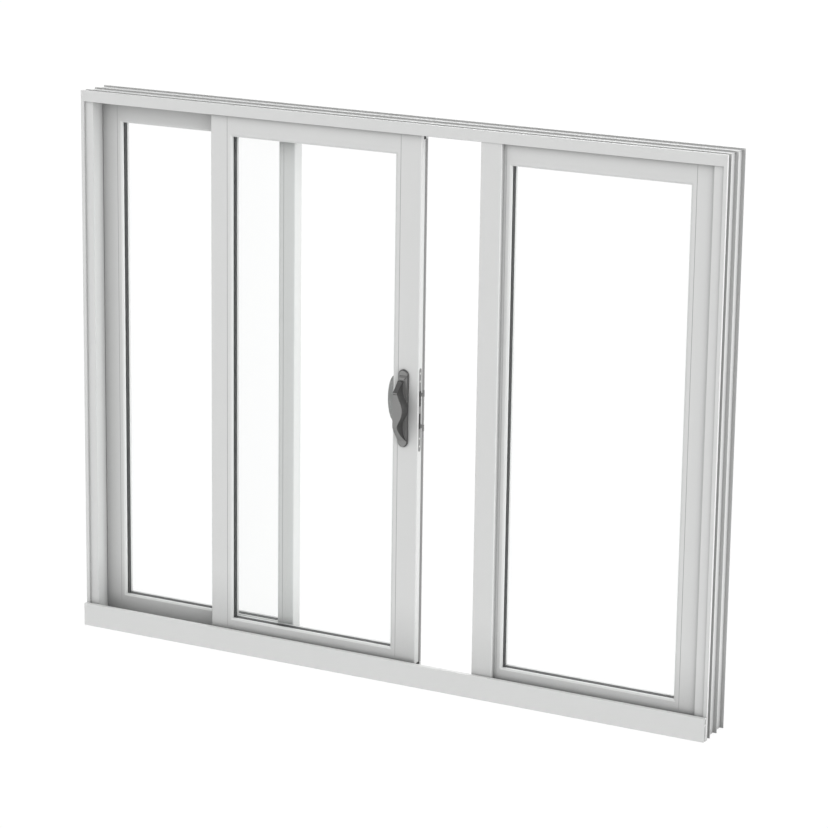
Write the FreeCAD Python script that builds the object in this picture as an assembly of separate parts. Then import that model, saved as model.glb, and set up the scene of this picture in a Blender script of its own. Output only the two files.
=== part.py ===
"""Sliding patio door with three glazed panels: left fixed, middle sliding, right fixed.

Millimetres. X runs to the right as seen from the room, Z is up and Y points outdoors.
While the pieces are drawn, depth is counted from the room face of the frame.
Each piece is then moved so that the origin lies on the underside, below the middle of the frame.
"""
import FreeCAD, Part
import math
import os

# Overall frame
frame_width = 2526.0
frame_height = 2019.0
wall = 3.0

# Jambs and head
jamb_body = 35.0
jamb_setback = 6.4
flange_reach = 13.0
flange_depth = 11.0
head_face = 39.0
head_body_height = 24.0
head_rib_height = 5.0
first_rib = 32.5
middle_rib = 92.0
rib_thickness = 3.0

# Sill
sill_seat = 36.0
sill_nose_height = 20.0
sill_ledge = 3.0
sill_slope_run = 38.0
sill_chambers = 3
riser_height = 84.5
riser_depth = 17.5
riser_divider = 58.0
riser_wall = 2.5
riser_round = 2.0

# Track and guide
track_thickness = 3.0
track_height = 14.0
track_round = 1.2
track_foot = 20.0
foot_thickness = 1.0
guide_reach = 18.0

# Panels
sash_thickness = 46.0
rail_height = 65.0
bead_width = 20.0
bead_slope_depth = 3.0
bead_slope_width = 7.0
running_clearance = 6.0
side_clearance = 5.0
panel_gap = 5.0
sliding_face = 16.0
edge_round = 4.0
joint_round = 1.2

# Widths of the upright members
jamb_stile_width = 64.0
interlock_width = 46.0
sliding_interlock_width = 68.0
lock_stile_width = 81.0
post_stile_width = 61.0
interlock_overlap = 91.0
post_width = 80.0
post_leg_width = 30.0
post_leg_depth = 50.0
post_face = 3.0
post_step = 15.0
rest_opening = 226.0

# Glass units
pane_thickness = 4.0
cavity = 16.0
glass_bite = 12.0
glass_edge_gap = 1.0

# Grooves and rollers of the sliding panel
groove_width = 15.0
groove_depth = 22.0
channel_width = 26.0
channel_depth = 34.0
roller_inset = 95.0
roller_radius = 11.0
roller_width = 9.0
roller_gap = 0.3
roller_tread_depth = 2.5
roller_chamfer = 1.0
roller_axle_radius = 3.0
carriage_length = 84.0
carriage_wall = 1.5
seal_width = 13.0
seal_proud = 1.5
seal_setback = 5.5

# Lock in the edge of the sliding panel
faceplate_width = 18.0
faceplate_length = 301.0
faceplate_thickness = 2.5
faceplate_depth = 12.5
lock_height = 1006.5
hook_spacing = 114.0
hook_thickness = 4.0
hook_reach = 17.0
hook_arm = 12.0
hook_tip_rise = 11.0
hook_tip_width = 5.5
hook_pivot_depth = 24.0
hook_boss_radius = 8.0
hook_pin_radius = 3.0
pin_clearance = 0.05
slot_clearance = 5.0
slot_width = 9.0
case_depth = 36.0
case_length = 250.0
case_wall = 2.0
keeper_thickness = 2.0
keeper_width = 22.0
keeper_length = 210.0
keeper_slot_width = 15.0

# Interior handle
plate_width = 39.0
plate_length = 279.0
plate_thickness = 8.0
plate_rise = 2.0
plate_setback = 58.5
plate_bevel = 3.0
grip_reach = 51.0
grip_root = 4.0
grip_inset = 3.3
shoulder_inset = 7.5

# Outlines of the grip as shares: widths of plate_width from its left edge, reaches of grip_reach
# and heights of plate_length from the middle of the plate
grip_wave = ((1.0, 0.428), (0.667, 0.371), (0.528, 0.296), (0.551, 0.206), (0.756, 0.134),
             (0.987, 0.056), (1.02, -0.016), (0.846, -0.109), (0.577, -0.188), (0.572, -0.278),
             (0.641, -0.335), (1.0, -0.414))
grip_foot = ((1.0, -0.181), (0.95, -0.235), (0.725, -0.2975), (0.451, -0.362), (0.176, -0.428),
             (0.078, -0.452))
shoulder = ((0.118, 0.466), (0.157, 0.464), (0.255, 0.400), (0.255, 0.370), (0.118, 0.370))
lever_crown = ((1.0, 0.2295), (0.627, 0.294), (0.3255, 0.354))

# Latch lever along the top of the grip
lever_pivot_reach = 13.5
lever_pivot_drop = 3.266
lever_tip_thickness = 4.0
lever_gap = 2.0
barrel_radius = 4.5
barrel_gap = 0.7
lever_pin_radius = 2.5
lever_pin_start = 1.5
lever_pin_length = 15.5
knuckle_width = 9.0
knuckle_place = 12.5
knuckle_gap = 1.0

# Exterior pull
pull_plate_thickness = 4.0
pull_side = 68.5
pull_rise = 13.5
pull_half_height = 84.0
pull_bulge = 27.0
pull_offset = 14.0
pull_thickness = 6.0
pull_post = 9.0

# Reach of cutters past the piece, and the distance within which an edge counts as found
cut_margin = 10.0
tolerance = 0.01

# Fixed frame, worked out from the sizes above
half_width = frame_width / 2.0
jamb_outer = half_width - flange_reach
jamb_inner = jamb_outer - jamb_body
head_inner = frame_height - head_face
rib_base = frame_height - head_rib_height
head_underside = rib_base - head_body_height
sliding_back = sliding_face + sash_thickness
left_panel_face = sliding_back + panel_gap
right_panel_face = post_face + post_step
sill_slope_start = left_panel_face + sash_thickness + sill_ledge
frame_back = sill_slope_start + sill_slope_run
rib_places = (first_rib, middle_rib, frame_back - rib_thickness)

# Widths and heights of the glass that shows, the same in all three panels
fixed_members = (2.0 * jamb_stile_width + interlock_width + post_stile_width + post_leg_width
                 + keeper_thickness + side_clearance)
moving_members = sliding_interlock_width + lock_stile_width
daylight_width = (2.0 * jamb_inner - fixed_members - moving_members - 6.0 * bead_width
                  + interlock_overlap) / 3.0
daylight_bottom = sill_seat + rail_height + bead_width
daylight_top = head_underside - rail_height - bead_width

# Places along the frame, with the sliding panel open by rest_opening
post_leg_right = jamb_inner - jamb_stile_width - 2.0 * bead_width - daylight_width - post_stile_width
post_left = post_leg_right - post_leg_width
sliding_right = post_left - keeper_thickness - side_clearance - rest_opening
sliding_left = sliding_right - moving_members - 2.0 * bead_width - daylight_width
sliding_bottom = sill_seat + running_clearance
sliding_top = head_underside - running_clearance
track_centre = sliding_face + sash_thickness / 2.0
track_top = sill_seat + track_height
bead_depth = (sash_thickness - 2.0 * pane_thickness - cavity) / 2.0
leg_front = sash_thickness - bead_depth
roller_centre = track_top + roller_gap + roller_radius - roller_tread_depth

# Places of the lock and the handles
lock_plane = sliding_right - faceplate_thickness
faceplate_centre = sliding_face + faceplate_depth
hook_pivot = sliding_right - hook_pivot_depth
hook_length = hook_pivot_depth + hook_reach
hook_radius = math.hypot(hook_length, hook_arm / 2.0 + hook_tip_rise)
plate_height = lock_height + plate_rise
handle_x = sliding_right - plate_setback
handle_left = handle_x - plate_width / 2.0
handle_right = handle_x + plate_width / 2.0
plate_front = sliding_face - plate_thickness
lever_pivot_rise = lever_crown[-1][1] * plate_length - lever_pivot_drop
lever_pivot_height = plate_height + lever_pivot_rise


def put(name, shape):
    """Move a piece into the frame of the whole part and write it to its own file."""
    placed = shape.copy()
    placed.translate(FreeCAD.Vector(0, -frame_back / 2.0, 0))
    placed.exportStep(os.path.join("parts", name + ".step"))
    print(name, round(placed.Volume / 1000.0, 1), "cm3", len(placed.Solids), placed.isValid())


def block(x0, x1, y0, y1, z0, z1):
    """Box between two corners."""
    return Part.makeBox(x1 - x0, y1 - y0, z1 - z0, FreeCAD.Vector(x0, y0, z0))


def outline(points):
    """Closed wire through a list of vectors."""
    return Part.makePolygon(points + [points[0]])


def section(wires, direction):
    """Solid from an outer wire and the wires of its chambers, pulled along a vector."""
    return Part.makeFace(wires, "Part::FaceMakerBullseye").extrude(direction).removeSplitter()


def along_z(loops, z0, z1):
    """Profile with its plan section given as loops of (x, y), outer loop first."""
    wires = [outline([FreeCAD.Vector(x, y, z0) for x, y in loop]) for loop in loops]
    return section(wires, FreeCAD.Vector(0, 0, z1 - z0))


def along_x(loops, x0, x1):
    """Profile with its upright section given as loops of (y, z), outer loop first."""
    wires = [outline([FreeCAD.Vector(x0, y, z) for y, z in loop]) for loop in loops]
    return section(wires, FreeCAD.Vector(x1 - x0, 0, 0))


def along_y(points, y0, y1):
    """Prism with its front view given as (x, z)."""
    wire = outline([FreeCAD.Vector(x, y0, z) for x, z in points])
    return section([wire], FreeCAD.Vector(0, y1 - y0, 0))


def rectangle(a0, a1, b0, b1):
    """Corner list of a rectangle in a section."""
    return [(a0, b0), (a1, b0), (a1, b1), (a0, b1)]


def near(value, target):
    """Whether a place along one axis is the one that is looked for."""
    return abs(value - target) < tolerance


def rounded(shape, test, radius):
    """Round the edges whose middle point and edge pass the test."""
    picked = [edge for edge in shape.Edges if test(edge.BoundBox.Center, edge)]
    return shape.makeFillet(radius, picked)


def mirrored(shape):
    """The same shape on the other side of the middle plane."""
    return shape.mirror(FreeCAD.Vector(0, 0, 0), FreeCAD.Vector(1, 0, 0))


def rod_y(x, z, y0, y1, radius):
    """Round bar along Y."""
    return Part.makeCylinder(radius, y1 - y0, FreeCAD.Vector(x, y0, z), FreeCAD.Vector(0, 1, 0))


def rod_x(y, z, x0, x1, radius):
    """Round bar along X."""
    return Part.makeCylinder(radius, x1 - x0, FreeCAD.Vector(x0, y, z), FreeCAD.Vector(1, 0, 0))


def stadium(width, length, x, z, y0, y1):
    """Upright plate with half-round ends."""
    radius = width / 2.0
    straight = length / 2.0 - radius
    body = block(x - radius, x + radius, y0, y1, z - straight, z + straight)
    ends = [rod_y(x, z - straight, y0, y1, radius), rod_y(x, z + straight, y0, y1, radius)]
    return body.fuse(ends).removeSplitter()


def ring(x0, x1, z0, z1, border, y0, y1):
    """Rectangular ring around an opening."""
    outer = block(x0 - border, x1 + border, y0, y1, z0 - border, z1 + border)
    return outer.cut(block(x0, x1, y0, y1, z0, z1))


# Fixed frame

def corner_space(inner_height, y0, y1, upper):
    """Space above or below the slanted joint between right jamb and head."""
    rise = (frame_height - inner_height) / (half_width - jamb_inner)
    far = half_width + cut_margin
    far_height = inner_height + rise * (far - jamb_inner)
    points = [(jamb_inner, inner_height), (far, far_height)]
    if upper:
        points.append((jamb_inner, far_height))
    else:
        points.append((far, inner_height - cut_margin))
        points.append((jamb_inner, inner_height - cut_margin))
    return along_y(points, y0, y1)


def mitred(shape, upper):
    """Cut the corner joint: low behind the fascia, lower still in the fascia itself."""
    front = corner_space(head_inner, 0.0, flange_depth, upper)
    back = corner_space(head_underside, flange_depth, frame_back, upper)
    return shape.cut(front).cut(back)


def jamb():
    """Multi-chamber right jamb with a front flange and three outer ribs."""
    loop = [(jamb_inner, jamb_setback), (jamb_outer, jamb_setback), (jamb_outer, 0.0)]
    loop += [(half_width, 0.0), (half_width, flange_depth), (jamb_outer, flange_depth)]
    for place in rib_places:
        loop += [(jamb_outer, place), (half_width, place)]
        loop += [(half_width, place + rib_thickness), (jamb_outer, place + rib_thickness)]
    loop.append((jamb_inner, frame_back))
    starts = (jamb_setback,) + rib_places[:-1]
    chambers = [rectangle(jamb_inner + wall, jamb_outer - wall, start + wall, end)
                for start, end in zip(starts, rib_places)]
    return mitred(along_z([loop] + chambers, 0.0, frame_height), True)


def head():
    """Hollow head with a fascia towards the room and low ribs on top."""
    loop = [(0.0, head_inner), (flange_depth, head_inner), (flange_depth, head_underside)]
    loop.append((frame_back, head_underside))
    for place in reversed(rib_places):
        loop += [(place + rib_thickness, rib_base), (place + rib_thickness, frame_height)]
        loop += [(place, frame_height), (place, rib_base)]
    loop += [(flange_depth, rib_base), (flange_depth, frame_height), (0.0, frame_height)]
    starts = (flange_depth - wall,) + rib_places[:-1]
    chambers = [rectangle(start + wall, end, head_underside + wall, rib_base - wall)
                for start, end in zip(starts, rib_places)]
    chambers.append(rectangle(wall, flange_depth - wall, head_inner + wall, frame_height - wall))
    body = along_x([loop] + chambers, -half_width, half_width)
    return mirrored(mitred(mirrored(mitred(body, False)), False))


def sill():
    """Hollow sill between the jambs, level under the panels and sloping to the outside."""
    loop = [(0.0, 0.0), (frame_back, 0.0), (frame_back, sill_nose_height)]
    loop += [(sill_slope_start, sill_seat), (0.0, sill_seat)]
    pitch = sill_slope_start / sill_chambers
    chambers = [rectangle(index * pitch + wall, (index + 1) * pitch, wall, sill_seat - wall)
                for index in range(sill_chambers)]
    slope = (sill_seat - sill_nose_height) / sill_slope_run
    start = sill_slope_start + wall
    end = frame_back - wall
    top = sill_seat - wall
    chambers.append([(start, wall), (end, wall), (end, top - slope * (end - sill_slope_start)),
                     (start, top - slope * wall)])
    return along_x([loop] + chambers, -jamb_inner, jamb_inner)


def riser():
    """Hollow interior riser that stands in front of the sill over the full width."""
    loop = rectangle(-riser_depth, 0.0, 0.0, riser_height)
    front = -riser_depth + riser_wall
    lower = rectangle(front, -riser_wall, riser_wall, riser_divider)
    upper = rectangle(front, -riser_wall, riser_divider + riser_wall, riser_height - riser_wall)
    body = along_x([loop, lower, upper], -half_width, half_width)
    return rounded(body, lambda c, e: near(c.z, riser_height) and near(e.Length, frame_width),
                   riser_round)


def track_piece(foot_z, tip_z):
    """Fin on a flat foot, between the left jamb and the post."""
    low = min(foot_z, tip_z)
    high = max(foot_z, tip_z)
    foot_low = foot_z if foot_z < tip_z else foot_z - foot_thickness
    foot = block(-jamb_inner, post_left, track_centre - track_foot / 2.0,
                 track_centre + track_foot / 2.0, foot_low, foot_low + foot_thickness)
    fin = block(-jamb_inner, post_left, track_centre - track_thickness / 2.0,
                track_centre + track_thickness / 2.0, low, high)
    return foot.fuse(fin).removeSplitter()


def roller_track():
    """Rail on the sill that the rollers run on."""
    rail = track_piece(sill_seat, track_top)
    return rounded(rail, lambda c, e: near(c.z, track_top) and near(e.Length, post_left + jamb_inner),
                   track_round)


def slot_ends(plane, top_reach):
    """Lowest and highest point of both slots through which the hooks swing at a plane."""
    half = hook_spacing / 2.0
    far = math.sqrt(hook_radius ** 2 - plane ** 2) + slot_clearance
    close = top_reach + slot_clearance
    return [(lock_height + half - far, lock_height + half + close),
            (lock_height - half - close, lock_height - half + far)]


def keeper_slots():
    """Slots in the keeper plate and in the post behind it."""
    return slot_ends(hook_pivot_depth + side_clearance, hook_arm / 2.0 + hook_tip_rise)


def slot_block(x0, x1, width, low, high):
    """Cutter for one hook slot."""
    return block(x0, x1, faceplate_centre - width / 2.0, faceplate_centre + width / 2.0, low, high)


def meeting_post():
    """Post that the sliding panel locks into, with a cover that laps over the right panel."""
    right = post_left + post_width
    leg_back = right_panel_face + post_leg_depth
    loop = [(post_left, post_face), (right, post_face), (right, right_panel_face)]
    loop += [(post_leg_right, right_panel_face), (post_leg_right, leg_back), (post_left, leg_back)]
    leg = rectangle(post_left + wall, post_leg_right - wall, post_face + wall, leg_back - wall)
    cover = rectangle(post_leg_right, right - wall, post_face + wall, right_panel_face - wall)
    body = along_z([loop, leg, cover], sill_seat, head_underside)
    height = head_underside - sill_seat
    body = rounded(body, lambda c, e: near(c.y, post_face) and near(e.Length, height)
                   and (near(c.x, post_left) or near(c.x, right)), edge_round)
    body = body.cut(block(post_left, right, post_face, flange_depth, head_inner, head_underside))
    for low, high in keeper_slots():
        body = body.cut(slot_block(post_left, post_left + wall, keeper_slot_width, low, high))
    return body


def keeper_plate():
    """Steel plate on the post with a slot for each hook."""
    front = post_left - keeper_thickness
    half = keeper_length / 2.0
    plate = slot_block(front, post_left, keeper_width, lock_height - half, lock_height + half)
    for low, high in keeper_slots():
        plate = plate.cut(slot_block(front, post_left, keeper_slot_width, low, high))
    return plate


# Glazed panels

def stile(left, width, face, bottom, top, glass_right):
    """Hollow stile with a web in the middle and the outer glazing leg on its glass side."""
    right = left + width
    back = face + sash_thickness
    web = left + (width - wall) / 2.0
    loop = rectangle(left, right, face, back)
    chambers = [rectangle(left + wall, web, face + wall, back - wall),
                rectangle(web + wall, right - wall, face + wall, back - wall)]
    body = along_z([loop] + chambers, bottom, top)
    outer_edge = left if glass_right else right
    glass_edge = right if glass_right else left
    body = rounded(body, lambda c, e: near(c.y, face) and near(c.x, outer_edge), edge_round)
    body = rounded(body, lambda c, e: near(c.y, face) and near(c.x, glass_edge), joint_round)
    leg_left = right if glass_right else left - bead_width
    leg = block(leg_left, leg_left + bead_width, face + leg_front, back,
                daylight_bottom - bead_width, daylight_top + bead_width)
    return body.fuse(leg).removeSplitter()


def with_leg(body, left, right, face, low):
    """Add the outer glazing leg to a rail."""
    leg = block(left + bead_width, right - bead_width, face + leg_front, face + sash_thickness,
                low, low + bead_width)
    return body.fuse(leg).removeSplitter()


def fixed_rail(left, right, face, bottom, glass_above):
    """Hollow rail of a fixed panel between its two stiles."""
    back = face + sash_thickness
    top = bottom + rail_height
    chamber = rectangle(face + wall, back - wall, bottom + wall, top - wall)
    body = along_x([rectangle(face, back, bottom, top), chamber], left, right)
    return with_leg(body, left, right, face, top if glass_above else bottom - bead_width)


def sliding_rail(left, right, slot_width_y, slot_reach, open_z, glass_z):
    """Hollow rail with a slot along its open side and the glazing leg on the other."""
    up = 1.0 if glass_z > open_z else -1.0
    front_side = track_centre - slot_width_y / 2.0
    back_side = track_centre + slot_width_y / 2.0
    floor = open_z + up * slot_reach
    loop = [(sliding_face, open_z), (front_side, open_z), (front_side, floor)]
    loop += [(back_side, floor), (back_side, open_z), (sliding_back, open_z)]
    loop += [(sliding_back, glass_z), (sliding_face, glass_z)]
    front = sliding_face + wall
    back = sliding_back - wall
    chambers = [rectangle(front, back, floor + up * wall, glass_z - up * wall)]
    chambers.append(rectangle(front, front_side - wall, open_z + up * wall, floor))
    chambers.append(rectangle(back_side + wall, back, open_z + up * wall, floor))
    body = along_x([loop] + chambers, left, right)
    return with_leg(body, left, right, sliding_face, glass_z if up > 0 else glass_z - bead_width)


def bead(left, right, face):
    """Glazing bead: a ring on the room side whose inner edge slopes back to the glass."""
    body = ring(left, right, daylight_bottom, daylight_top, bead_width, face, face + bead_depth)
    wires = []
    for grow, depth in ((bead_slope_width, face), (0.0, face + bead_slope_depth)):
        corners = rectangle(left - grow, right + grow, daylight_bottom - grow, daylight_top + grow)
        wires.append(outline([FreeCAD.Vector(x, depth, z) for x, z in corners]))
    return body.cut(Part.makeLoft(wires, True, True))


def panes(left, right, face):
    """The two panes of the insulating glass."""
    front = face + bead_depth
    lights = []
    for start in (front, front + pane_thickness + cavity):
        lights.append(block(left - glass_bite, right + glass_bite, start, start + pane_thickness,
                            daylight_bottom - glass_bite, daylight_top + glass_bite))
    return Part.makeCompound(lights)


def spacer(left, right, face):
    """Dark spacer bar between the panes, in line with the edge of the bead."""
    front = face + bead_depth + pane_thickness
    return ring(left, right, daylight_bottom, daylight_top, glass_bite - glass_edge_gap,
                front, front + cavity)


def put_glazing(prefix, left, face):
    """Write the bead, the glass and the spacer of a panel."""
    right = left + daylight_width
    put(prefix + "_glazing_bead", bead(left, right, face))
    put(prefix + "_glass", panes(left, right, face))
    put(prefix + "_spacer", spacer(left, right, face))


def put_fixed_panel(prefix, left, left_stile, right_stile, face):
    """Write all pieces of a fixed panel; the stiles are given as (name, width)."""
    rail_left = left + left_stile[1]
    rail_right = rail_left + 2.0 * bead_width + daylight_width
    put(prefix + left_stile[0], stile(left, left_stile[1], face, sill_seat, head_underside, True))
    put(prefix + right_stile[0],
        stile(rail_right, right_stile[1], face, sill_seat, head_underside, False))
    put(prefix + "_bottom_rail", fixed_rail(rail_left, rail_right, face, sill_seat, True))
    put(prefix + "_top_rail",
        fixed_rail(rail_left, rail_right, face, head_underside - rail_height, False))
    put_glazing(prefix, rail_left + bead_width, face)


# Sliding panel

def running_slots():
    """Guide groove at the top and roller channel at the bottom of the sliding panel."""
    groove = block(sliding_left, sliding_right, track_centre - groove_width / 2.0,
                   track_centre + groove_width / 2.0, sliding_top - groove_depth, sliding_top)
    channel = block(sliding_left, sliding_right, track_centre - channel_width / 2.0,
                    track_centre + channel_width / 2.0, sliding_bottom,
                    sliding_bottom + channel_depth)
    return groove.fuse(channel)


def edge_plate(thickness, start):
    """Plate with round ends across the closing edge of the sliding panel, from a plane in X."""
    plate = stadium(faceplate_width, faceplate_length, 0.0, 0.0, 0.0, thickness)
    plate.rotate(FreeCAD.Vector(0, 0, 0), FreeCAD.Vector(0, 0, 1), -90)
    plate.translate(FreeCAD.Vector(start, faceplate_centre, lock_height))
    return plate


def put_sliding_panel():
    """Write the frame and the glazing of the sliding panel."""
    rail_left = sliding_left + sliding_interlock_width
    rail_right = sliding_right - lock_stile_width
    slots = running_slots()
    interlock = stile(sliding_left, sliding_interlock_width, sliding_face, sliding_bottom,
                      sliding_top, True)
    lock = stile(rail_right, lock_stile_width, sliding_face, sliding_bottom, sliding_top, False)
    put("sliding_panel_interlock_stile", interlock.cut(slots))
    put("sliding_panel_lock_stile", lock.cut(slots).cut(edge_plate(wall, sliding_right - wall)))
    put("sliding_panel_bottom_rail",
        sliding_rail(rail_left, rail_right, channel_width, channel_depth, sliding_bottom,
                     daylight_bottom - bead_width))
    put("sliding_panel_top_rail",
        sliding_rail(rail_left, rail_right, groove_width, groove_depth, sliding_top,
                     daylight_top + bead_width))
    put_glazing("sliding_panel", rail_left + bead_width, sliding_face)


def edge_seal():
    """Weather seal on the closing edge of the sliding panel."""
    back = sliding_back - seal_setback
    return block(sliding_right, sliding_right + seal_proud, back - seal_width, back,
                 sliding_bottom + channel_depth, sliding_top - groove_depth)


def carriage(x):
    """Roller carriage in the bottom channel: a folded cover with its axle."""
    low = sliding_bottom + running_clearance
    top = sliding_bottom + channel_depth
    half = channel_width / 2.0
    front = track_centre - half
    back = track_centre + half
    left = x - carriage_length / 2.0
    right = x + carriage_length / 2.0
    cover = block(left, right, front, back, low, top)
    cover = cover.cut(block(left, right, front + carriage_wall, back - carriage_wall, low,
                            top - carriage_wall))
    axle = rod_y(x, roller_centre, front, back, roller_axle_radius)
    return cover.fuse(axle).removeSplitter()


def wheel(x):
    """Grooved roller wheel that sits over the rail."""
    half = roller_width / 2.0
    bore = roller_axle_radius + pin_clearance
    lip = track_thickness / 2.0 + roller_gap
    tread = roller_radius - roller_tread_depth
    shoulder_depth = half - roller_chamfer
    points = [(bore, -half), (roller_radius, -half), (roller_radius, -shoulder_depth)]
    points += [(tread, -lip), (tread, lip), (roller_radius, shoulder_depth)]
    points += [(roller_radius, half), (bore, half)]
    wire = outline([FreeCAD.Vector(radius, depth, 0) for radius, depth in points])
    body = Part.Face(wire).revolve(FreeCAD.Vector(0, 0, 0), FreeCAD.Vector(0, 1, 0), 360)
    body.translate(FreeCAD.Vector(x, track_centre, roller_centre))
    return body


# Lock

def faceplate():
    """Lock faceplate with round ends and two hook slots, flush with the panel's edge."""
    plate = edge_plate(faceplate_thickness, lock_plane)
    for low, high in slot_ends(lock_plane - hook_pivot, hook_arm / 2.0):
        plate = plate.cut(slot_block(lock_plane, sliding_right, slot_width, low, high))
    return plate


def lock_case():
    """Case behind the faceplate, open towards it, with a pin for each hook."""
    half = case_length / 2.0
    back = lock_plane - case_depth
    case = slot_block(back, lock_plane, faceplate_width, lock_height - half, lock_height + half)
    hollow = slot_block(back + case_wall, lock_plane, faceplate_width - 2.0 * case_wall,
                        lock_height - half + case_wall, lock_height + half - case_wall)
    case = case.cut(hollow)
    y0 = faceplate_centre - faceplate_width / 2.0
    y1 = faceplate_centre + faceplate_width / 2.0
    for side in (-1.0, 1.0):
        height = lock_height + side * hook_spacing / 2.0
        case = case.fuse(rod_y(hook_pivot, height, y0, y1, hook_pin_radius))
    return case.removeSplitter()


def hook(turn):
    """Lock hook around its pin, with the tip turned up (1) or down (-1)."""
    y0 = faceplate_centre - hook_thickness / 2.0
    y1 = faceplate_centre + hook_thickness / 2.0
    half = hook_arm / 2.0
    tip_x = hook_pivot + hook_length
    arm = block(hook_pivot, tip_x, y0, y1, -half, half)
    tip = block(tip_x - hook_tip_width, tip_x, y0, y1, half, half + hook_tip_rise)
    boss = rod_y(hook_pivot, 0.0, y0, y1, hook_boss_radius)
    body = arm.fuse([tip, boss]).removeSplitter()
    body = body.cut(rod_y(hook_pivot, 0.0, y0, y1, hook_pin_radius + pin_clearance))
    if turn < 0:
        body = body.mirror(FreeCAD.Vector(0, 0, 0), FreeCAD.Vector(0, 0, 1))
    body.translate(FreeCAD.Vector(0, 0, lock_height + turn * hook_spacing / 2.0))
    return body


# Handles

def side_point(reach, rise):
    """Point on the left side of the handle: its reach into the room and rise above mid-plate."""
    return FreeCAD.Vector(handle_left, sliding_face - reach, plate_height + rise)


def side_points(shares):
    """Points of a side outline from its shares of reach and length."""
    return [side_point(reach * grip_reach, rise * plate_length) for reach, rise in shares]


def curve(points):
    """Smooth edge through points."""
    spline = Part.BSplineCurve()
    spline.interpolate(points)
    return spline.toShape()


def side_form(edges, inset):
    """Solid from the edges of its side view, trimmed to the front view of the grip."""
    whole = section([Part.Wire(edges)], FreeCAD.Vector(plate_width + cut_margin, 0, 0))
    return whole.common(front_form(inset))


def chain(points):
    """Straight edges that join points in order."""
    return [Part.makeLine(start, end) for start, end in zip(points, points[1:])]


def front_form(inset):
    """Front view of the grip: straight on the glass side, inset there, scalloped on the other."""
    left = handle_left + inset
    start = sliding_face - grip_reach - cut_margin
    points = [FreeCAD.Vector(handle_left + across * plate_width, start,
                             plate_height + rise * plate_length) for across, rise in grip_wave]
    top_left = FreeCAD.Vector(left, start, points[0].z)
    bottom_left = FreeCAD.Vector(left, start, points[-1].z)
    edges = [curve(points)] + chain([points[-1], bottom_left, top_left, points[0]])
    return section([Part.Wire(edges)], FreeCAD.Vector(0, grip_reach + cut_margin, 0))


def lever_underside(reach, drop):
    """Rise of the lever's straight underside at a reach, lowered by a drop."""
    root = lever_pivot_rise - barrel_radius
    tip = lever_crown[0][1] * plate_length - lever_tip_thickness
    slope = (root - tip) / (grip_reach - lever_pivot_reach)
    return root - slope * (reach - lever_pivot_reach) - drop


def pivot_rod(x0, x1, radius):
    """Round bar on the axis of the latch lever."""
    return rod_x(sliding_face - lever_pivot_reach, lever_pivot_height, x0, x1, radius)


def grip():
    """Interior handle: back plate, scalloped grip, shoulder, knuckle and lever pin."""
    plate = stadium(plate_width, plate_length, handle_x, plate_height, plate_front, sliding_face)
    rim = [edge for edge in plate.Edges if near(edge.BoundBox.Center.y, plate_front)]
    plate = plate.makeChamfer(plate_bevel, rim)
    foot = side_points(grip_foot)
    front_top = side_point(grip_reach, lever_underside(grip_reach, lever_gap))
    back_top = side_point(grip_root, lever_underside(grip_root, lever_gap))
    edges = [curve(foot)] + chain([foot[-1], back_top, front_top, foot[0]])
    ledge = side_points(shoulder)
    body = side_form(edges, grip_inset)
    body = body.fuse(side_form(chain(ledge + [ledge[0]]), shoulder_inset))
    body = body.cut(pivot_rod(handle_left, handle_right, barrel_radius + barrel_gap))
    middle = handle_left + knuckle_place
    knuckle = block(middle - knuckle_width / 2.0, middle + knuckle_width / 2.0,
                    sliding_face - lever_pivot_reach, sliding_face - grip_root,
                    lever_pivot_height - barrel_radius, lever_pivot_height + barrel_radius)
    barrel = pivot_rod(middle - knuckle_width / 2.0, middle + knuckle_width / 2.0, barrel_radius)
    pin_start = handle_left + grip_inset + lever_pin_start
    pin = pivot_rod(pin_start, pin_start + lever_pin_length, lever_pin_radius)
    return plate.fuse([body, knuckle, barrel, pin]).removeSplitter()


def latch_lever():
    """Lever that lies along the top of the grip and swings up on its pin."""
    pivot = side_point(lever_pivot_reach, lever_pivot_rise)
    root = side_point(lever_pivot_reach, lever_underside(lever_pivot_reach, 0.0))
    tip = side_point(grip_reach, lever_underside(grip_reach, 0.0))
    crown = side_points(lever_crown)
    edges = [curve(crown)] + chain([crown[-1], pivot, root, tip, crown[0]])
    blade = side_form(edges, grip_inset)
    barrel = pivot_rod(handle_left, handle_right, barrel_radius).common(front_form(grip_inset))
    body = blade.fuse(barrel).removeSplitter()
    middle = handle_left + knuckle_place
    half_slot = knuckle_width / 2.0 + knuckle_gap
    body = body.cut(pivot_rod(middle - half_slot, middle + half_slot, barrel_radius + knuckle_gap))
    return body.cut(pivot_rod(handle_left, handle_right, lever_pin_radius + pin_clearance))


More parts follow.
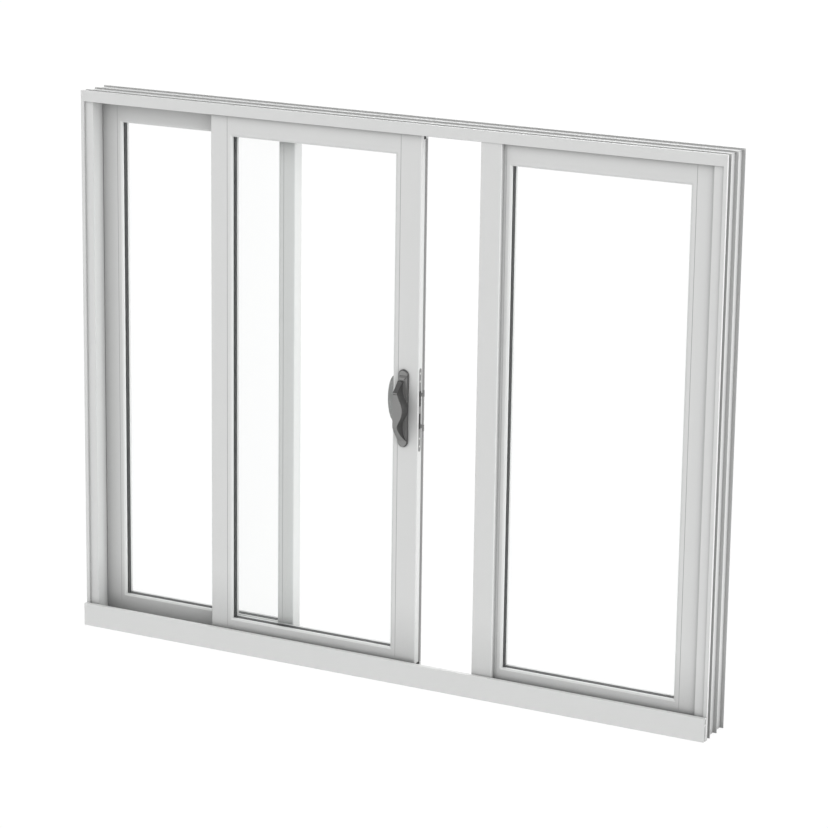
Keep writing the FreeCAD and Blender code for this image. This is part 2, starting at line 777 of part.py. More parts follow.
def exterior_pull():
    """Exterior handle: back plate and a half-moon blade that stands off from the panel."""
    pull_x = handle_x - pull_side
    pull_z = plate_height + pull_rise
    blade_front = sliding_back + pull_offset
    blade_back = blade_front + pull_thickness
    plate = stadium(plate_width, plate_length, handle_x, plate_height, sliding_back,
                    sliding_back + pull_plate_thickness)
    moon = Part.Wire(Part.Ellipse(FreeCAD.Vector(0, 0, 0), pull_half_height, pull_bulge).toShape())
    disc = section([moon], FreeCAD.Vector(0, 0, pull_thickness))
    disc.rotate(FreeCAD.Vector(0, 0, 0), FreeCAD.Vector(0, 0, 1), 90)
    disc.rotate(FreeCAD.Vector(0, 0, 0), FreeCAD.Vector(1, 0, 0), 90)
    disc.translate(FreeCAD.Vector(pull_x, blade_back, pull_z))
    low = pull_z - pull_half_height
    high = pull_z + pull_half_height
    post_height = 2.0 * pull_post
    web = block(pull_x, handle_right, blade_front, blade_back, low, high)
    window = block(handle_left + pull_post, handle_right, blade_front, blade_back,
                   low + post_height, high - post_height)
    posts = [block(handle_left, handle_right, sliding_back, blade_back, start, start + post_height)
             for start in (low, high - post_height)]
    return disc.fuse(web).cut(window).fuse(posts + [plate]).removeSplitter()


os.makedirs("parts", exist_ok=True)

put("left_jamb", mirrored(jamb()))
put("right_jamb", jamb())
put("head", head())
put("sill", sill())
put("sill_riser", riser())
put("roller_track", roller_track())
put("head_guide", track_piece(head_underside, head_underside - guide_reach))
put("meeting_post", meeting_post())
put("keeper_plate", keeper_plate())
put_fixed_panel("left_panel", -jamb_inner, ("_jamb_stile", jamb_stile_width),
                ("_interlock_stile", interlock_width), left_panel_face)
put_fixed_panel("right_panel", post_leg_right, ("_post_stile", post_stile_width),
                ("_jamb_stile", jamb_stile_width), right_panel_face)
put_sliding_panel()
roller_places = (sliding_left + roller_inset, sliding_right - roller_inset)
put("roller_carriages", Part.makeCompound([carriage(x) for x in roller_places]))
put("roller_wheels", Part.makeCompound([wheel(x) for x in roller_places]))
put("edge_seal", edge_seal())
put("lock_faceplate", faceplate())
put("lock_case", lock_case())
put("upper_hook", hook(1))
put("lower_hook", hook(-1))
put("interior_handle", grip())
put("latch_lever", latch_lever())
put("exterior_pull", exterior_pull())
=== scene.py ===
"""Looks of a white sliding patio door: finishes, small trim, floor, light and camera."""
import logging
import math
from dataclasses import dataclass, field
from enum import Enum

import bmesh
import bpy
from mathutils import Matrix, Vector


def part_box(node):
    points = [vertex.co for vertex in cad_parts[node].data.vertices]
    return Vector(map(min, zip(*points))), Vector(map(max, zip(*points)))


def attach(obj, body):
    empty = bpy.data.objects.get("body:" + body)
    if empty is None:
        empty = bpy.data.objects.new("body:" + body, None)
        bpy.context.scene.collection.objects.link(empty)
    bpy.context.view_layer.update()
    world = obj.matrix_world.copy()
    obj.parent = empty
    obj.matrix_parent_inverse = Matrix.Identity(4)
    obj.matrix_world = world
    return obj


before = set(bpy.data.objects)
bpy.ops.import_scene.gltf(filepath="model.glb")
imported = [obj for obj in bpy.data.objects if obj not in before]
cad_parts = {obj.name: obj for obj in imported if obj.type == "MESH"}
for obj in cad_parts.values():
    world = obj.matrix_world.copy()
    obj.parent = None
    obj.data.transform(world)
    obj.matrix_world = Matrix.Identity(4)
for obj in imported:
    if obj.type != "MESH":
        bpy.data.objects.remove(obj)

logging.basicConfig(level=logging.INFO, format="%(message)s")
log = logging.getLogger("patio_door")

Colour = tuple[float, float, float]
Triple = tuple[float, float, float]
Socket = bpy.types.NodeSocket
VINYL: Colour = (0.72, 0.725, 0.72)
VINYL_SHADE: Colour = (0.70, 0.70, 0.695)
WHITE: Colour = (1.0, 1.0, 1.0)


class Side(Enum):
    """Way along the door's width that a screw or an end of the fascia looks."""

    RIGHT = (1.0, 0.0, 0.0)
    LEFT = (-1.0, 0.0, 0.0)


class Slot(Enum):
    """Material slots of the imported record."""

    FRAME = "frame_vinyl"
    PANEL = "panel_vinyl"
    BEAD = "bead_vinyl"
    GLASS = "pane_glass"
    SPACER = "spacer_bar"
    TRACK = "track_metal"
    HANDLE = "handle_metal"
    STEEL = "lock_steel"
    NYLON = "roller_nylon"
    SEAL = "seal_rubber"


@dataclass(frozen=True)
class Finish:
    """Numbers that describe one opaque finish.

    The recess numbers set how much painted shade darkens the sides and the faces in wide
    recesses, and the groove number does so in narrow ones. side is a darker colour painted on
    sides and tops as painted shade, where a finish sets one; otherwise they keep the finish's own
    colour.
    """

    slot: Slot
    colour: Colour
    shade: Colour
    roughness: float
    metallic: float = 0.0
    grain_scale: float = 40.0
    grain_mix: float = 0.25
    bump: float = 0.02
    edge_radius: float = 0.0008
    stretch: Triple = (1.0, 1.0, 1.0)
    # Painted shade: how much recesses and grooves darken the colour, and a darker colour on sides
    # and tops.
    recess: float = 0.0
    face_recess_shade: float = 0.0
    groove_shade: float = 0.0
    side: Colour | None = None
    name: str | None = None

    def title(self) -> str:
        """Name of the material that the finish makes."""
        return self.name or self.slot.value


@dataclass(frozen=True)
class GlassFinish:
    """Numbers that describe the panes."""

    colour: Colour = (0.82, 0.90, 0.87)
    roughness: float = 0.02
    face_alpha: float = 0.008
    edge_alpha: float = 0.25
    ior: float = 1.5
    facing_blend: float = 0.25


# The frame's vinyl without the painted recess shade, for the riser.
RISER_FINISH = Finish(Slot.FRAME, VINYL, VINYL_SHADE, 0.42, name="riser_vinyl")
SCREW_FINISH = Finish(Slot.STEEL, (0.72, 0.72, 0.71), (0.66, 0.66, 0.65), 0.3, metallic=0.6,
                      name="screw_zinc")
# Dark grey of the painted shadow lines on the panels' joints.
JOINT_SHADOW_FINISH = Finish(Slot.PANEL, (0.38, 0.38, 0.38), (0.34, 0.34, 0.34), 0.6,
                      name="joint_shadow_grey")
# The recess and groove values paint shade into recesses; a side colour paints shade on sides and
# tops.
FINISHES: tuple[Finish, ...] = (
    Finish(Slot.FRAME, VINYL, VINYL_SHADE, 0.42, recess=0.65, face_recess_shade=0.5, groove_shade=0.35),
    Finish(Slot.PANEL, VINYL, VINYL_SHADE, 0.40, recess=0.6, face_recess_shade=0.8, groove_shade=0.2),
    Finish(Slot.BEAD, VINYL, VINYL_SHADE, 0.38, recess=0.6, face_recess_shade=0.8, groove_shade=0.2),
    Finish(Slot.SPACER, (0.02, 0.02, 0.021), (0.03, 0.03, 0.03), 0.6),
    Finish(Slot.TRACK, (0.62, 0.62, 0.62), (0.55, 0.55, 0.55), 0.35, metallic=1.0,
           grain_scale=90.0, grain_mix=0.4, bump=0.03, edge_radius=0.0003,
           stretch=(0.05, 1.0, 1.0)),
    # The handle: a darker side colour painted on its sides and tops as shade, and painted shade
    # in its recesses.
    Finish(Slot.HANDLE, (0.25, 0.25, 0.247), (0.22, 0.22, 0.218), 0.40, metallic=0.5,
           grain_scale=120.0, grain_mix=0.3, bump=0.01, edge_radius=0.0012, recess=0.9,
           side=(0.085, 0.085, 0.084)),
    Finish(Slot.STEEL, (0.24, 0.24, 0.238), (0.18, 0.18, 0.178), 0.38, metallic=0.4,
           grain_scale=80.0, grain_mix=0.5, bump=0.03, edge_radius=0.0003,
           stretch=(1.0, 1.0, 0.06), recess=0.8, face_recess_shade=0.6),
    Finish(Slot.NYLON, (0.62, 0.61, 0.58), (0.56, 0.55, 0.52), 0.5),
    Finish(Slot.SEAL, (0.24, 0.24, 0.24), (0.19, 0.19, 0.19), 0.8, grain_scale=220.0,
           grain_mix=0.6, bump=0.1),
    RISER_FINISH,
    SCREW_FINISH,
    JOINT_SHADOW_FINISH,
)


@dataclass
class NodeDesk:
    """Short ways to add nodes to one shader tree."""

    tree: bpy.types.NodeTree

    def feed(self, value: Socket | float | tuple[float, ...], socket: Socket) -> None:
        """Link another node's socket to an input, or set a plain value on it.

        Args:
            value: What goes in.
            socket: The input.
        """
        if isinstance(value, bpy.types.NodeSocket):
            self.tree.links.new(value, socket)
        else:
            socket.default_value = value

    def count(self, operation: str, *values: Socket | float) -> Socket:
        """Add a Math node.

        Args:
            operation: Blender's name of the sum.
            values: What it works on, in order.

        Returns:
            The result.
        """
        node = self.tree.nodes.new("ShaderNodeMath")
        node.operation = operation
        for value, socket in zip(values, node.inputs):
            self.feed(value, socket)
        return node.outputs["Value"]

    def mix_colours(self, share: Socket, first: Socket, second: Socket | tuple) -> Socket:
        """Add a Mix node for colours.

        Args:
            share: Share of the second colour.
            first: The colour at a share of 0.
            second: The colour at a share of 1.

        Returns:
            The mixed colour.
        """
        first_input, second_input, result = 6, 7, 2
        node = self.tree.nodes.new("ShaderNodeMix")
        node.data_type = "RGBA"
        self.feed(share, node.inputs["Factor"])
        self.feed(first, node.inputs[first_input])
        self.feed(second, node.inputs[second_input])
        return node.outputs[result]

    def mix_values(self, share: Socket, first: Socket, second: Socket) -> Socket:
        """Add a Mix node for plain values.

        Args:
            share: Share of the second value.
            first: The value at a share of 0.
            second: The value at a share of 1.

        Returns:
            The mixed value.
        """
        first_input, second_input, result = 2, 3, 0
        node = self.tree.nodes.new("ShaderNodeMix")
        self.feed(share, node.inputs["Factor"])
        self.feed(first, node.inputs[first_input])
        self.feed(second, node.inputs[second_input])
        return node.outputs[result]

    def spread(self, value: Socket, low: float, high: float, start: float = 0.0,
               end: float = 1.0) -> Socket:
        """Add a Map Range node.

        Args:
            value: What comes in.
            low: Result at the start.
            high: Result at the end.
            start: Incoming value that gives the low result.
            end: Incoming value that gives the high result.

        Returns:
            The result.
        """
        node = self.tree.nodes.new("ShaderNodeMapRange")
        node.inputs["From Min"].default_value = start
        node.inputs["From Max"].default_value = end
        node.inputs["To Min"].default_value = low
        node.inputs["To Max"].default_value = high
        self.tree.links.new(value, node.inputs["Value"])
        return node.outputs["Result"]

    def noise(self, place: Socket, scale: Socket | float, detail: float | None = None) -> Socket:
        """Add a Noise Texture node.

        Args:
            place: Where it is read.
            scale: How fine it is.
            detail: Number of finer layers, or None for Blender's own.

        Returns:
            The noise as a value.
        """
        node = self.tree.nodes.new("ShaderNodeTexNoise")
        if detail is not None:
            node.inputs["Detail"].default_value = detail
        self.feed(place, node.inputs["Vector"])
        self.feed(scale, node.inputs["Scale"])
        return node.outputs["Fac"]

    def hidden(self, reach: float, samples: int) -> Socket:
        """Add a mask of how much of its surroundings a point can't see.

        Args:
            reach: How far it looks, in metres.
            samples: Number of looks.

        Returns:
            0 in the open and 1 in a closed corner.
        """
        node = self.tree.nodes.new("ShaderNodeAmbientOcclusion")
        node.samples = samples
        node.inputs["Distance"].default_value = reach
        return self.count("SUBTRACT", 1.0, node.outputs["AO"])

    def plain_rays(self) -> Socket:
        """Add a mask of the rays that see the background: direct, mirrored or through glass.

        Returns:
            1 for those rays and 0 for the light on the door.
        """
        path = self.tree.nodes.new("ShaderNodeLightPath")
        mask = path.outputs["Is Camera Ray"]
        for kind in ("Is Glossy Ray", "Is Transmission Ray"):
            mask = self.count("MAXIMUM", mask, path.outputs[kind])
        return mask


@dataclass
class FineSurface:
    """Shader group of all solid finishes: grain, painted shade on sides and tops, painted shade
    in recesses and soft edges.
    """

    inputs: tuple[tuple[str, str], ...] = (
        ("Colour", "NodeSocketColor"), ("Shade", "NodeSocketColor"),
        ("Side", "NodeSocketColor"), ("Recess", "NodeSocketFloat"),
        ("Face Recess", "NodeSocketFloat"), ("Groove", "NodeSocketFloat"),
        ("Scale", "NodeSocketFloat"), ("Mix", "NodeSocketFloat"),
        ("Bump", "NodeSocketFloat"), ("Stretch", "NodeSocketVector"),
        ("Edge", "NodeSocketFloat"))
    outputs: tuple[tuple[str, str], ...] = (
        ("Colour", "NodeSocketColor"), ("Value", "NodeSocketFloat"),
        ("Normal", "NodeSocketVector"))
    fine_detail: float = 4.0
    broad_scale: float = 1.3
    side_tilt: float = 0.30
    face_tilt: float = 0.14
    recess_reach: float = 0.3
    recess_samples: int = 8
    groove_reach: float = 0.03
    groove_samples: int = 6
    # Dark colour that the painted shade in recesses and grooves mixes towards.
    recess_shade_colour: Colour = (0.02, 0.02, 0.02)
    edge_samples: int = 4
    bump_height: float = 0.0005

    def build(self) -> bpy.types.ShaderNodeTree:
        """Make the group.

        Returns:
            A group with a colour, the grain as a value and a normal as outputs.
        """
        tree = bpy.data.node_groups.new("fine_surface", "ShaderNodeTree")
        for name, kind in self.inputs:
            tree.interface.new_socket(name, in_out="INPUT", socket_type=kind)
        for name, kind in self.outputs:
            tree.interface.new_socket(name, in_out="OUTPUT", socket_type=kind)
        desk = NodeDesk(tree)
        given = tree.nodes.new("NodeGroupInput").outputs
        result = tree.nodes.new("NodeGroupOutput").inputs
        place = tree.nodes.new("ShaderNodeTexCoord").outputs
        mapping = tree.nodes.new("ShaderNodeMapping")
        desk.feed(place["Object"], mapping.inputs["Vector"])
        desk.feed(given["Stretch"], mapping.inputs["Scale"])
        grain = desk.noise(mapping.outputs["Vector"], given["Scale"], self.fine_detail)
        face = self.face_mask(desk, place["Normal"])
        colour = self.tone_with_side_shade(desk, given, place["Object"], grain, face)
        desk.feed(self.shaded(desk, given, colour, face), result["Colour"])
        desk.feed(grain, result["Value"])
        desk.feed(self.relief(desk, given, grain), result["Normal"])
        return tree

    def face_mask(self, desk: NodeDesk, normal: Socket) -> Socket:
        """Mask of the surfaces that look to the room, outdoors or down, which keep their colour;
        sides and tops take the side colour, which is painted shade where a finish sets one.

        Args:
            desk: Desk of the group.
            normal: The surface's direction in the object's own axes.

        Returns:
            1 on those surfaces and 0 on sides and tops.
        """
        split = desk.tree.nodes.new("ShaderNodeSeparateXYZ")
        desk.feed(normal, split.inputs["Vector"])
        across = desk.count("ABSOLUTE", split.outputs["X"])
        tilt = desk.count("MAXIMUM", across, split.outputs["Z"])
        return desk.spread(tilt, 0.0, 1.0, self.side_tilt, self.face_tilt)

    def tone_with_side_shade(self, desk: NodeDesk, given: bpy.types.NodeOutputs, place: Socket, grain: Socket,
             face: Socket) -> Socket:
        """Colour before the painted recess shade: grain on the faces, and elsewhere the side
        colour, which is painted shade where a finish sets one.

        Args:
            desk: Desk of the group.
            given: The group's own inputs.
            place: Position in the object's own axes.
            grain: Fine noise.
            face: Mask of the faces.

        Returns:
            The colour.
        """
        patches = desk.noise(place, self.broad_scale)
        amount = desk.count("MULTIPLY", desk.count("MULTIPLY", grain, patches), given["Mix"])
        grained = desk.mix_colours(amount, given["Colour"], given["Shade"])
        return desk.mix_colours(face, given["Side"], grained)

    def shaded(self, desk: NodeDesk, given: bpy.types.NodeOutputs, colour: Socket,
               face: Socket) -> Socket:
        """Paint shade into a colour: darken it in recesses and narrow grooves, by how much of its
        surroundings each point can't see.

        Args:
            desk: Desk of the group.
            given: The group's own inputs.
            colour: The colour in the open.
            face: Mask of the faces.

        Returns:
            The colour with painted shade in recesses and grooves.
        """
        wide = desk.hidden(self.recess_reach, self.recess_samples)
        strength = desk.mix_values(face, given["Recess"], given["Face Recess"])
        recess_shade = desk.count("MULTIPLY", wide, strength)
        narrow = desk.hidden(self.groove_reach, self.groove_samples)
        shade_amount = desk.count("MULTIPLY_ADD", narrow, given["Groove"], recess_shade)
        return desk.mix_colours(shade_amount, colour, (*self.recess_shade_colour, 1.0))

    def relief(self, desk: NodeDesk, given: bpy.types.NodeOutputs, grain: Socket) -> Socket:
        """Rounded edges with the grain as low relief.

        Args:
            desk: Desk of the group.
            given: The group's own inputs.
            grain: Fine noise.

        Returns:
            The normal.
        """
        edge = desk.tree.nodes.new("ShaderNodeBevel")
        edge.samples = self.edge_samples
        desk.feed(given["Edge"], edge.inputs["Radius"])
        bump = desk.tree.nodes.new("ShaderNodeBump")
        bump.inputs["Distance"].default_value = self.bump_height
        desk.feed(given["Bump"], bump.inputs["Strength"])
        desk.feed(grain, bump.inputs["Height"])
        desk.feed(edge.outputs["Normal"], bump.inputs["Normal"])
        return bump.outputs["Normal"]


@dataclass
class MaterialShop:
    """Builds one material for each finish and keeps them by name."""

    roughness_swing: float = 0.04
    made: dict[str, bpy.types.Material] = field(default_factory=dict)

    def opaque(self, finish: Finish, group: bpy.types.ShaderNodeTree) -> bpy.types.Material:
        """Material for a solid finish.

        Args:
            finish: The numbers of the finish.
            group: The shared surface group.

        Returns:
            The material.
        """
        material = bpy.data.materials.new(finish.title())
        material.use_nodes = True
        desk = NodeDesk(material.node_tree)
        shader = material.node_tree.nodes["Principled BSDF"].inputs
        shader["Metallic"].default_value = finish.metallic
        surface = material.node_tree.nodes.new("ShaderNodeGroup")
        surface.node_tree = group
        # The side colour and the recess and groove values carry the painted shade into the group.
        for name, value in (("Colour", (*finish.colour, 1.0)), ("Shade", (*finish.shade, 1.0)),
                            ("Side", (*(finish.side or finish.colour), 1.0)),
                            ("Recess", finish.recess), ("Face Recess", finish.face_recess_shade),
                            ("Groove", finish.groove_shade), ("Scale", finish.grain_scale),
                            ("Mix", finish.grain_mix), ("Bump", finish.bump),
                            ("Stretch", finish.stretch), ("Edge", finish.edge_radius)):
            surface.inputs[name].default_value = value
        roughness = desk.spread(surface.outputs["Value"], finish.roughness - self.roughness_swing,
                                finish.roughness + self.roughness_swing)
        desk.feed(roughness, shader["Roughness"])
        desk.feed(surface.outputs["Colour"], shader["Base Color"])
        desk.feed(surface.outputs["Normal"], shader["Normal"])
        material.diffuse_color = (*finish.colour, 1.0)
        return material

    def glass(self, finish: GlassFinish) -> bpy.types.Material:
        """Clear pane that shows more of itself at grazing angles.

        Args:
            finish: The numbers of the glass.

        Returns:
            The material.
        """
        material = bpy.data.materials.new(Slot.GLASS.value)
        material.use_nodes = True
        desk = NodeDesk(material.node_tree)
        shader = material.node_tree.nodes["Principled BSDF"].inputs
        shader["Base Color"].default_value = (*finish.colour, 1.0)
        shader["Roughness"].default_value = finish.roughness
        shader["IOR"].default_value = finish.ior
        facing = material.node_tree.nodes.new("ShaderNodeLayerWeight")
        facing.inputs["Blend"].default_value = finish.facing_blend
        alpha = desk.spread(facing.outputs["Fresnel"], finish.face_alpha, finish.edge_alpha)
        desk.feed(alpha, shader["Alpha"])
        return material

    def build(self) -> None:
        """Make every material."""
        group = FineSurface().build()
        for finish in FINISHES:
            self.made[finish.title()] = self.opaque(finish, group)
        self.made[Slot.GLASS.value] = self.glass(GlassFinish())


@dataclass
class SubAssembly:
    """A named set of CAD nodes with the slots they are painted from."""

    name: str
    shop: MaterialShop
    finishes: dict[str, Slot]

    def paint(self) -> None:
        """Give each node its material, and let the panes cast no shadow."""
        for node, slot in self.finishes.items():
            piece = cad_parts[node]
            piece.data.materials.clear()
            piece.data.materials.append(self.shop.made[slot.value])
            piece.visible_shadow = slot is not Slot.GLASS
            log.info("%s: %s painted %s", self.name, node, slot.value)


@dataclass
class FixedFrame(SubAssembly):
    """Head, jambs, sill, riser, post and the metal on them."""

    @classmethod
    def make(cls, shop: MaterialShop) -> "FixedFrame":
        """Collect the frame's nodes.

        Args:
            shop: The finished materials.

        Returns:
            The sub-assembly.
        """
        vinyl = ("left_jamb", "right_jamb", "head", "sill", "sill_riser", "meeting_post")
        finishes = {node: Slot.FRAME for node in vinyl}
        finishes |= {"roller_track": Slot.TRACK, "head_guide": Slot.TRACK,
                     "keeper_plate": Slot.STEEL}
        return cls("fixed frame", shop, finishes)

    def paint(self) -> None:
        """Paint the frame, and give the riser the frame's vinyl without painted recess shade, as
        it stands in the open.
        """
        super().paint()
        riser = self.shop.made[RISER_FINISH.title()]
        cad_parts["sill_riser"].data.materials[0] = riser


@dataclass
class GlazedPanel(SubAssembly):
    """One framed light: stiles, rails, bead, panes and spacer."""

    @classmethod
    def make(cls, shop: MaterialShop, prefix: str, stiles: tuple[str, str]) -> "GlazedPanel":
        """Collect a panel's nodes.

        Args:
            shop: The finished materials.
            prefix: Start of the node names.
            stiles: Ends of the names of the two stiles.

        Returns:
            The sub-assembly.
        """
        members = (*stiles, "bottom_rail", "top_rail")
        finishes = {f"{prefix}_{member}": Slot.PANEL for member in members}
        finishes |= {f"{prefix}_glazing_bead": Slot.BEAD, f"{prefix}_glass": Slot.GLASS,
                     f"{prefix}_spacer": Slot.SPACER}
        return cls(prefix.replace("_", " "), shop, finishes)


@dataclass
class Hardware(SubAssembly):
    """Lock, handles, rollers and seal."""

    @classmethod
    def make(cls, shop: MaterialShop) -> "Hardware":
        """Collect the nodes of the hardware.

        Args:
            shop: The finished materials.

        Returns:
            The sub-assembly.
        """
        steel = ("lock_faceplate", "lock_case", "upper_hook", "lower_hook", "roller_carriages")
        finishes = {node: Slot.STEEL for node in steel}
        for node in ("interior_handle", "latch_lever", "exterior_pull"):
            finishes[node] = Slot.HANDLE
        finishes |= {"roller_wheels": Slot.NYLON, "edge_seal": Slot.SEAL}
        return cls("hardware", shop, finishes)


@dataclass
class Trim:
    """Base of the small pieces that the CAD leaves out: one mesh that rides on a body."""

    name: str
    body: str
    slot: Slot
    material: bpy.types.Material

    def add(self, form: bmesh.types.BMesh, matrix: Matrix, smooth: bool = False) -> None:
        """Turn a finished form into a piece and put it in its place.

        Args:
            form: The form, which is used up.
            matrix: Place and direction of the piece.
            smooth: Whether its faces are shaded as one round surface.
        """
        mesh = bpy.data.meshes.new(self.name)
        form.to_mesh(mesh)
        form.free()
        for polygon in mesh.polygons:
            polygon.use_smooth = smooth
        mesh.materials.append(self.material)
        piece = bpy.data.objects.new(self.name, mesh)
        bpy.context.scene.collection.objects.link(piece)
        piece.matrix_world = matrix
        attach(piece, self.body)
        log.info("trim: %s", self.name)


@dataclass
class CornerCover(Trim):
    """Three-sided filler that carries the fascia on over the set-back face of a jamb."""

    jamb: str
    side: Side
    setback: float = 0.0064
    flange: float = 0.013
    seam: float = 0.00002

    def build(self) -> None:
        """Make the filler between the corner joint, the fascia's lower edge and the flange."""
        low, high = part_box(self.jamb)
        head_low, head_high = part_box("head")
        outward = self.side.value[0]
        width = high.x - low.x
        inner = outward * (max(abs(low.x), abs(high.x)) - width)
        outer = inner + outward * (width - self.flange)
        rise = (head_high.z - head_low.z) / width * (width - self.flange)
        outline = ((inner, head_low.z), (outer, head_low.z), (outer, head_low.z + rise))
        front = head_low.y + self.seam
        form = bmesh.new()
        near = [form.verts.new((x, front, z)) for x, z in outline]
        far = [form.verts.new((x, front + self.setback, z)) for x, z in outline]
        form.faces.new(near)
        form.faces.new(list(reversed(far)))
        for index in range(len(outline)):
            after = (index + 1) % len(outline)
            form.faces.new((near[index], far[index], far[after], near[after]))
        bmesh.ops.recalc_face_normals(form, faces=form.faces)
        self.add(form, Matrix.Identity(4))


@dataclass
class JointShadowLine(Trim):
    """Low half-round dark strip on the butt joint of a stile and the rails: a painted shadow
    line.
    """

    place: Vector
    length: float
    half_width: float = 0.001
    rise: float = 0.0001
    steps: int = 6

    def build(self) -> None:
        """Make the strip upright, with its open flat side on the joint."""
        form = bmesh.new()
        rows = []
        for height in (0.0, self.length):
            row = []
            for step in range(self.steps + 1):
                angle = math.pi * step / self.steps
                row.append(form.verts.new((-self.half_width * math.cos(angle),
                                           -self.rise * math.sin(angle), height)))
            rows.append(row)
        for step in range(self.steps):
            form.faces.new((rows[0][step], rows[0][step + 1], rows[1][step + 1], rows[1][step]))
        self.add(form, Matrix.Translation(self.place))


@dataclass
class Screw(Trim):
    """Countersunk screw with a cross cut, whose head is flush with a surface."""

    place: Vector
    side: Side
    radius: float = 0.0042
    dome: float = 0.0007
    recess: float = 0.0016
    turn: float = 0.4
    steps: int = 32
    rings: int = 6
    cross_share: float = 0.5
    cross_arm: float = 0.93
    cross_foot: float = 0.7

    def height(self, share: float, angle: float) -> float:
        """Height of the head's surface over its rim.

        Args:
            share: Distance from the middle as a share of the radius.
            angle: Direction from the middle.

        Returns:
            The height, lower inside the cross.
        """
        arm = max(abs(math.cos(angle - self.turn)), abs(math.sin(angle - self.turn)))
        height = self.dome * (1.0 - share ** 2)
        if share <= self.cross_share and arm > self.cross_arm:
            height -= self.recess * (self.cross_foot - share)
        return height

    def build(self) -> None:
        """Make the head as a turned dome with a cross cut into it."""
        form = bmesh.new()
        rows = []
        for ring in range(1, self.rings + 1):
            share = ring / self.rings
            row = []
            for step in range(self.steps):
                angle = 2.0 * math.pi * step / self.steps
                row.append(form.verts.new((self.radius * share * math.cos(angle),
                                           self.radius * share * math.sin(angle),
                                           self.height(share, angle))))
            rows.append(row)
        centre = form.verts.new((0.0, 0.0, self.dome - self.recess))
        for step in range(self.steps):
            after = (step + 1) % self.steps
            form.faces.new((centre, rows[0][step], rows[0][after]))
            for inner, outer in zip(rows, rows[1:]):
                form.faces.new((inner[step], outer[step], outer[after], inner[after]))
        turn = Vector(self.side.value).to_track_quat("Z", "Y").to_matrix().to_4x4()
        self.add(form, Matrix.Translation(self.place) @ turn, smooth=True)


@dataclass
class FasciaCorners:
    """The covers at both ends of the fascia."""

    shop: MaterialShop

    def build(self) -> None:
        """Make both covers."""
        vinyl = self.shop.made[Slot.FRAME.value]
        for end, side in (("left", Side.LEFT), ("right", Side.RIGHT)):
            CornerCover(f"{end}_corner_cover", "frame", Slot.FRAME, vinyl, f"{end}_jamb",
                        side).build()


@dataclass
class PanelJointShadows:
    """Painted shadow lines at both ends of each panel's rails."""

    shop: MaterialShop
    bodies: tuple[tuple[str, str], ...] = (("left_panel", "frame"), ("right_panel", "frame"),
                                           ("sliding_panel", "sliding_panel"))

    def build(self) -> None:
        """Place the lines by the boxes of the rails."""
        shadow_paint = self.shop.made[JOINT_SHADOW_FINISH.title()]
        for prefix, body in self.bodies:
            low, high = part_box(f"{prefix}_top_rail")
            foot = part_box(f"{prefix}_bottom_rail")[0].z
            for end, x in (("left", low.x), ("right", high.x)):
                JointShadowLine(f"{prefix}_joint_shadow_line_{end}", body, Slot.PANEL, shadow_paint,
                          Vector((x, low.y, foot)), high.z - foot).build()


@dataclass
class LockScrews:
    """Screws that hold the faceplate and the keeper plate."""

    shop: MaterialShop
    plate_offsets: tuple[float, ...] = (0.019, 0.0475)
    keeper_offset: float = 0.008
    sink: float = 0.0002

    def build(self) -> None:
        """Place the screws by the boxes of the plates."""
        zinc = self.shop.made[SCREW_FINISH.title()]
        low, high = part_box("lock_faceplate")
        middle = (low.y + high.y) / 2.0
        for number, offset in enumerate(self.plate_offsets):
            for end, height in (("top", high.z - offset), ("foot", low.z + offset)):
                Screw(f"faceplate_screw_{end}_{number}", "sliding_panel", Slot.STEEL, zinc,
                      Vector((high.x - self.sink, middle, height)), Side.RIGHT).build()
        low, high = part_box("keeper_plate")
        for end, height in (("top", high.z - self.keeper_offset),
                            ("middle", (low.z + high.z) / 2.0),
                            ("foot", low.z + self.keeper_offset)):
            Screw(f"keeper_screw_{end}", "frame", Slot.STEEL, zinc,
                  Vector((low.x + self.sink, middle, height)), Side.LEFT).build()


@dataclass(frozen=True)
class Lamp:
    """Numbers of one distant soft light; the direction points from the door to it."""

    name: str
    strength: float
    direction: Triple
    spread: float
    shadow: bool = True


LAMPS: tuple[Lamp, ...] = (
    Lamp("key", 2.5, (0.92, -0.24, 0.30), 70.0, shadow=False),
    Lamp("fill", 0.88, (-0.70, -0.61, 0.37), 50.0),
    Lamp("back", 1.65, (0.0, 0.95, 0.31), 60.0),
)


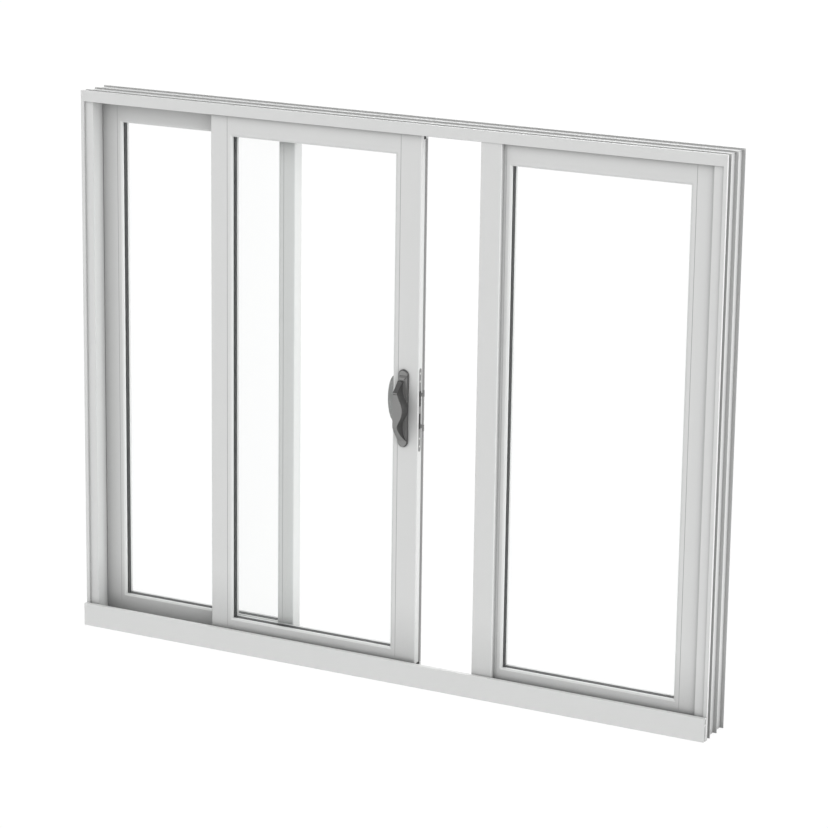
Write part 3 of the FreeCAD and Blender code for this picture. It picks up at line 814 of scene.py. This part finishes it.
@dataclass
class Studio:
    """Floor, sky, lamps and camera."""

    floor_half: float = 40.0
    floor_drop: float = 0.0005
    floor_colour: Colour = (0.85, 0.85, 0.85)
    floor_roughness: float = 0.9
    floor_glow: float = 1.07
    floor_glow_share: float = 0.85
    sky: float = 0.325
    camera_place: Triple = (5.275, -9.7007, 3.797)
    azimuth: float = 28.18
    elevation: float = 14.38
    roll: float = 0.79
    lens: float = 140.41
    sensor: float = 36.0
    sight: float = 200.0

    def floor(self) -> None:
        """Pale floor that keeps the door's shadow and is near white for the camera."""
        mesh = bpy.data.meshes.new("floor")
        half = self.floor_half
        square = [(-half, -half, 0.0), (half, -half, 0.0), (half, half, 0.0), (-half, half, 0.0)]
        mesh.from_pydata(square, [], [(0, 1, 2, 3)])
        ground = bpy.data.objects.new("floor", mesh)
        ground.location.z = -self.floor_drop
        bpy.context.scene.collection.objects.link(ground)
        mesh.materials.append(self.floor_material())

    def floor_material(self) -> bpy.types.Material:
        """Pale matt floor that glows for the rays that see the background.

        Returns:
            The material.
        """
        material = bpy.data.materials.new("floor")
        material.use_nodes = True
        nodes = material.node_tree.nodes
        desk = NodeDesk(material.node_tree)
        shader = nodes["Principled BSDF"]
        shader.inputs["Base Color"].default_value = (*self.floor_colour, 1.0)
        shader.inputs["Roughness"].default_value = self.floor_roughness
        glow = nodes.new("ShaderNodeEmission")
        glow.inputs["Color"].default_value = (*WHITE, 1.0)
        glow.inputs["Strength"].default_value = self.floor_glow
        mix = nodes.new("ShaderNodeMixShader")
        share = desk.count("MULTIPLY", desk.plain_rays(), self.floor_glow_share)
        desk.feed(share, mix.inputs["Fac"])
        desk.feed(shader.outputs["BSDF"], mix.inputs[1])
        desk.feed(glow.outputs["Emission"], mix.inputs[2])
        desk.feed(mix.outputs["Shader"], nodes["Material Output"].inputs["Surface"])
        return material

    def world(self) -> None:
        """Even sky for the light, white for the background."""
        world = bpy.data.worlds.new("sky")
        bpy.context.scene.world = world
        world.use_nodes = True
        desk = NodeDesk(world.node_tree)
        sky = world.node_tree.nodes["Background"].inputs
        sky["Color"].default_value = (*WHITE, 1.0)
        desk.feed(desk.spread(desk.plain_rays(), self.sky, 1.0), sky["Strength"])

    def lamp(self, numbers: Lamp) -> None:
        """Distant soft light, even over the whole door.

        Args:
            numbers: Strength, direction and spread of the light.
        """
        data = bpy.data.lights.new(numbers.name, "SUN")
        data.energy = numbers.strength
        data.angle = math.radians(numbers.spread)
        data.use_shadow = numbers.shadow
        lamp = bpy.data.objects.new(numbers.name, data)
        bpy.context.scene.collection.objects.link(lamp)
        lamp.rotation_mode = "QUATERNION"
        lamp.rotation_quaternion = Vector(numbers.direction).to_track_quat("Z", "Y")

    def camera(self) -> None:
        """Camera at the photo's viewing angle."""
        data = bpy.data.cameras.new("camera")
        data.lens = self.lens
        data.sensor_width = self.sensor
        data.clip_end = self.sight
        camera = bpy.data.objects.new("camera", data)
        bpy.context.scene.collection.objects.link(camera)
        turn, lift = math.radians(self.azimuth), math.radians(self.elevation)
        back = Vector((math.sin(turn) * math.cos(lift), -math.cos(turn) * math.cos(lift),
                       math.sin(lift)))
        right = Vector((math.cos(turn), math.sin(turn), 0.0))
        up = back.cross(right)
        roll = math.radians(self.roll)
        side = right * math.cos(roll) + up * math.sin(roll)
        top = up * math.cos(roll) - right * math.sin(roll)
        axes = Matrix((side, top, back)).transposed().to_4x4()
        camera.matrix_world = Matrix.Translation(self.camera_place) @ axes
        bpy.context.scene.camera = camera

    def build(self) -> None:
        """Set up everything that isn't part of the door."""
        bpy.context.scene.view_settings.view_transform = "Standard"
        self.floor()
        self.world()
        for numbers in LAMPS:
            self.lamp(numbers)
        self.camera()
        log.info("studio: floor, sky, lamps and camera")


def main() -> None:
    """Paint the CAD pieces, add the small trim and set up the studio."""
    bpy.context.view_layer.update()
    shop = MaterialShop()
    shop.build()
    assemblies = (
        FixedFrame.make(shop),
        GlazedPanel.make(shop, "left_panel", ("jamb_stile", "interlock_stile")),
        GlazedPanel.make(shop, "right_panel", ("post_stile", "jamb_stile")),
        GlazedPanel.make(shop, "sliding_panel", ("interlock_stile", "lock_stile")),
        Hardware.make(shop),
    )
    for assembly in assemblies:
        assembly.paint()
    for trim in (FasciaCorners(shop), PanelJointShadows(shop), LockScrews(shop)):
        trim.build()
    Studio().build()


if __name__ == "__main__":
    main()
